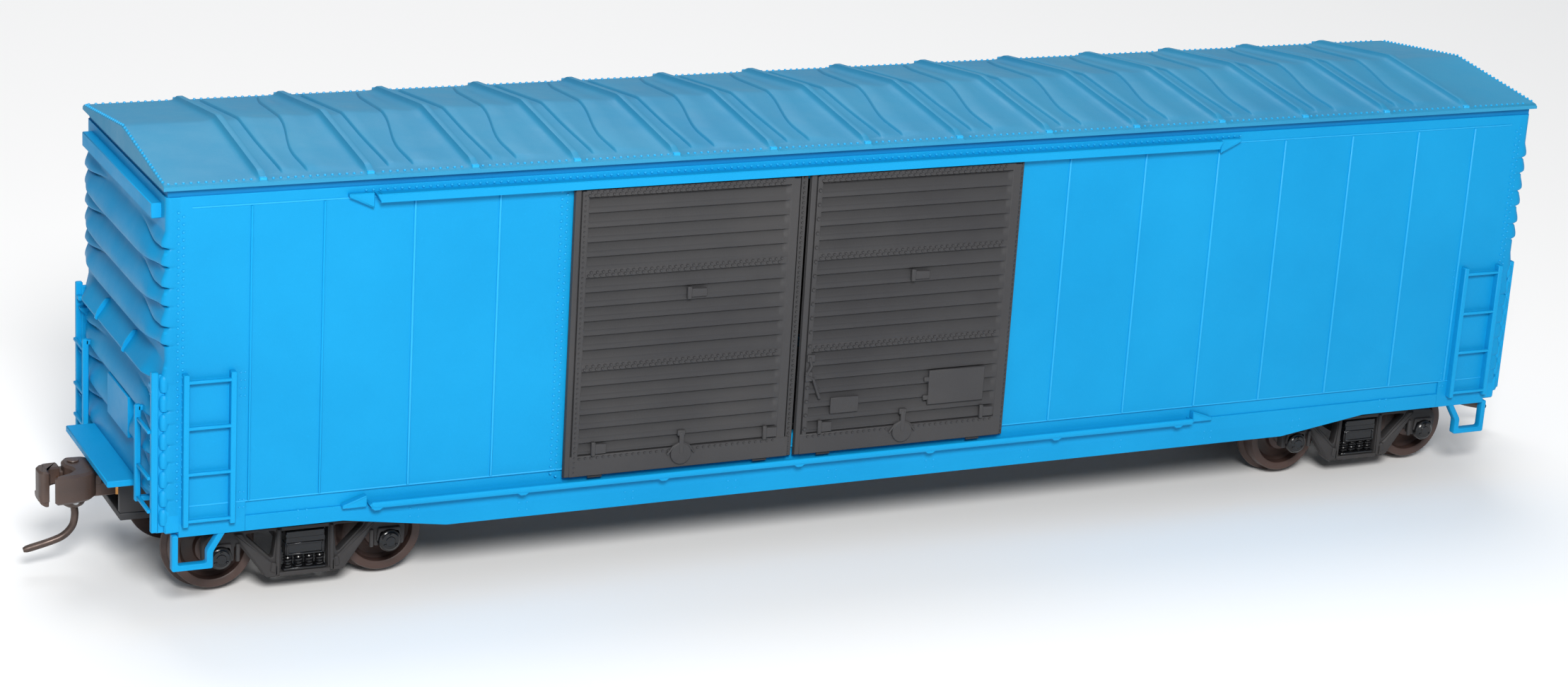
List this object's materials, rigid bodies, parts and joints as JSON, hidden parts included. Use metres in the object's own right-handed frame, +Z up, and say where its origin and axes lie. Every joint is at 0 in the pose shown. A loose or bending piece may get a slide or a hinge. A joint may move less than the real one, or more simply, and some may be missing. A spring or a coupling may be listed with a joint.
{
  "type": "model box car",
  "caption": "HO scale model box car with corrugated ends, sliding double doors, roller-bearing trucks and sprung knuckle couplers.",
  "frame": {"origin": "centre of the car in plan, at the lowest point of the wheel flanges", "axes": "+X along the car to the brake wheel end, +Y to the right side of a viewer facing -X, +Z up"},
  "size_m": [0.2, 0.0366, 0.0531],
  "materials": {
    "body_blue": "blue paint with a satin sheen over moulded plastic",
    "roof_blue": "slightly greyer satin blue paint",
    "door_grey": "dark brown-grey moulded plastic",
    "frame_grey": "matte dark brown-grey moulded plastic",
    "box_grey": "matte dark grey moulded plastic",
    "gloss_black": "glossy black moulded plastic",
    "underframe_black": "satin black moulded plastic",
    "wheel_brown": "dark brown moulded plastic, worn on the tread",
    "coupler_brown": "dark brown moulded plastic",
    "pin_metal": "blackened brown metal wire",
    "bronze": "spring bronze",
    "steel": "plain steel"
  },
  "bodies": {
    "carbody": {"body_shell": "body_blue", "roof": "roof_blue", "underframe": "underframe_black", "floor_weight": "steel", "brake_cylinder": "underframe_black", "air_reservoir": "underframe_black", "control_valve": "underframe_black", "brake_lever": "underframe_black", "brake_rod": "underframe_black", "brake_housing": "body_blue", "brake_wheel": "body_blue", "end_platform_a": "body_blue", "coupler_box_a": "box_grey", "coupler_lid_a": "box_grey", "coupler_screw_a": "steel", "centring_spring_a": "bronze", "truck_screw_a": "steel", "end_platform_b": "body_blue", "coupler_box_b": "box_grey", "coupler_lid_b": "box_grey", "coupler_screw_b": "steel", "centring_spring_b": "bronze", "truck_screw_b": "steel"},
    "truck_a": {"truck_bolster_a": "gloss_black", "sideframe_a_left": "frame_grey", "sideframe_a_right": "frame_grey"},
    "wheelset_a_inner": {"axle_a_inner": "steel", "wheel_a_inner_left": "wheel_brown", "wheel_a_inner_right": "wheel_brown"},
    "wheelset_a_outer": {"axle_a_outer": "steel", "wheel_a_outer_left": "wheel_brown", "wheel_a_outer_right": "wheel_brown"},
    "coupler_a": {"coupler_body_a": "coupler_brown", "knuckle_spring_a": "bronze"},
    "knuckle_part_a": {"knuckle_a": "coupler_brown", "trip_pin_a": "pin_metal"},
    "truck_b": {"truck_bolster_b": "gloss_black", "sideframe_b_left": "frame_grey", "sideframe_b_right": "frame_grey"},
    "wheelset_b_inner": {"axle_b_inner": "steel", "wheel_b_inner_left": "wheel_brown", "wheel_b_inner_right": "wheel_brown"},
    "wheelset_b_outer": {"axle_b_outer": "steel", "wheel_b_outer_left": "wheel_brown", "wheel_b_outer_right": "wheel_brown"},
    "coupler_b": {"coupler_body_b": "coupler_brown", "knuckle_spring_b": "bronze"},
    "knuckle_part_b": {"knuckle_b": "coupler_brown", "trip_pin_b": "pin_metal"},
    "aux_door_body_left": {"aux_door_left": "door_grey"},
    "main_door_body_left": {"main_door_left": "door_grey"},
    "aux_door_body_right": {"aux_door_right": "door_grey"},
    "main_door_body_right": {"main_door_right": "door_grey"}
  },
  "joints": [
    {"name": "truck_swivel_a", "type": "hinge", "parent": "carbody", "child": "truck_a", "pos_m": [-0.0712, 0, 0.0083], "axis": [0, 0, 1], "range_deg": [-9, 9]},
    {"name": "wheel_spin_a_inner", "type": "hinge", "parent": "truck_a", "child": "wheelset_a_inner", "pos_m": [-0.0613, 0, 0.00545], "axis": [0, 1, 0], "continuous": true},
    {"name": "wheel_spin_a_outer", "type": "hinge", "parent": "truck_a", "child": "wheelset_a_outer", "pos_m": [-0.0811, 0, 0.00545], "axis": [0, 1, 0], "continuous": true},
    {"name": "coupler_swing_a", "type": "hinge", "parent": "carbody", "child": "coupler_a", "pos_m": [-0.084, 0, 0.0104], "axis": [0, 0, 1], "range_deg": [-12, 12], "stiffness_Nm_per_rad": 0.001, "deforming": ["centring_spring_a"]},
    {"name": "knuckle_open_a", "type": "hinge", "parent": "coupler_a", "child": "knuckle_part_a", "pos_m": [-0.0942, 0.0013, 0.0115], "axis": [0, 0, -1], "range_deg": [0, 30], "stiffness_Nm_per_rad": 0.0002, "deforming": ["knuckle_spring_a"]},
    {"name": "truck_swivel_b", "type": "hinge", "parent": "carbody", "child": "truck_b", "pos_m": [0.0712, 0, 0.0083], "axis": [0, 0, 1], "range_deg": [-9, 9]},
    {"name": "wheel_spin_b_inner", "type": "hinge", "parent": "truck_b", "child": "wheelset_b_inner", "pos_m": [0.0613, 0, 0.00545], "axis": [0, 1, 0], "continuous": true},
    {"name": "wheel_spin_b_outer", "type": "hinge", "parent": "truck_b", "child": "wheelset_b_outer", "pos_m": [0.0811, 0, 0.00545], "axis": [0, 1, 0], "continuous": true},
    {"name": "coupler_swing_b", "type": "hinge", "parent": "carbody", "child": "coupler_b", "pos_m": [0.084, 0, 0.0104], "axis": [0, 0, 1], "range_deg": [-12, 12], "stiffness_Nm_per_rad": 0.001, "deforming": ["centring_spring_b"]},
    {"name": "knuckle_open_b", "type": "hinge", "parent": "coupler_b", "child": "knuckle_part_b", "pos_m": [0.0942, -0.0013, 0.0115], "axis": [0, 0, -1], "range_deg": [0, 30], "stiffness_Nm_per_rad": 0.0002, "deforming": ["knuckle_spring_b"]},
    {"name": "aux_door_slide_left", "type": "slide", "parent": "carbody", "child": "aux_door_body_left", "axis": [-1, 0, 0], "range_m": [0, 0.0225]},
    {"name": "main_door_slide_left", "type": "slide", "parent": "carbody", "child": "main_door_body_left", "axis": [1, 0, 0], "range_m": [0, 0.0265]},
    {"name": "aux_door_slide_right", "type": "slide", "parent": "carbody", "child": "aux_door_body_right", "axis": [1, 0, 0], "range_m": [0, 0.0225]},
    {"name": "main_door_slide_right", "type": "slide", "parent": "carbody", "child": "main_door_body_right", "axis": [-1, 0, 0], "range_m": [0, 0.0265]}
  ]
}
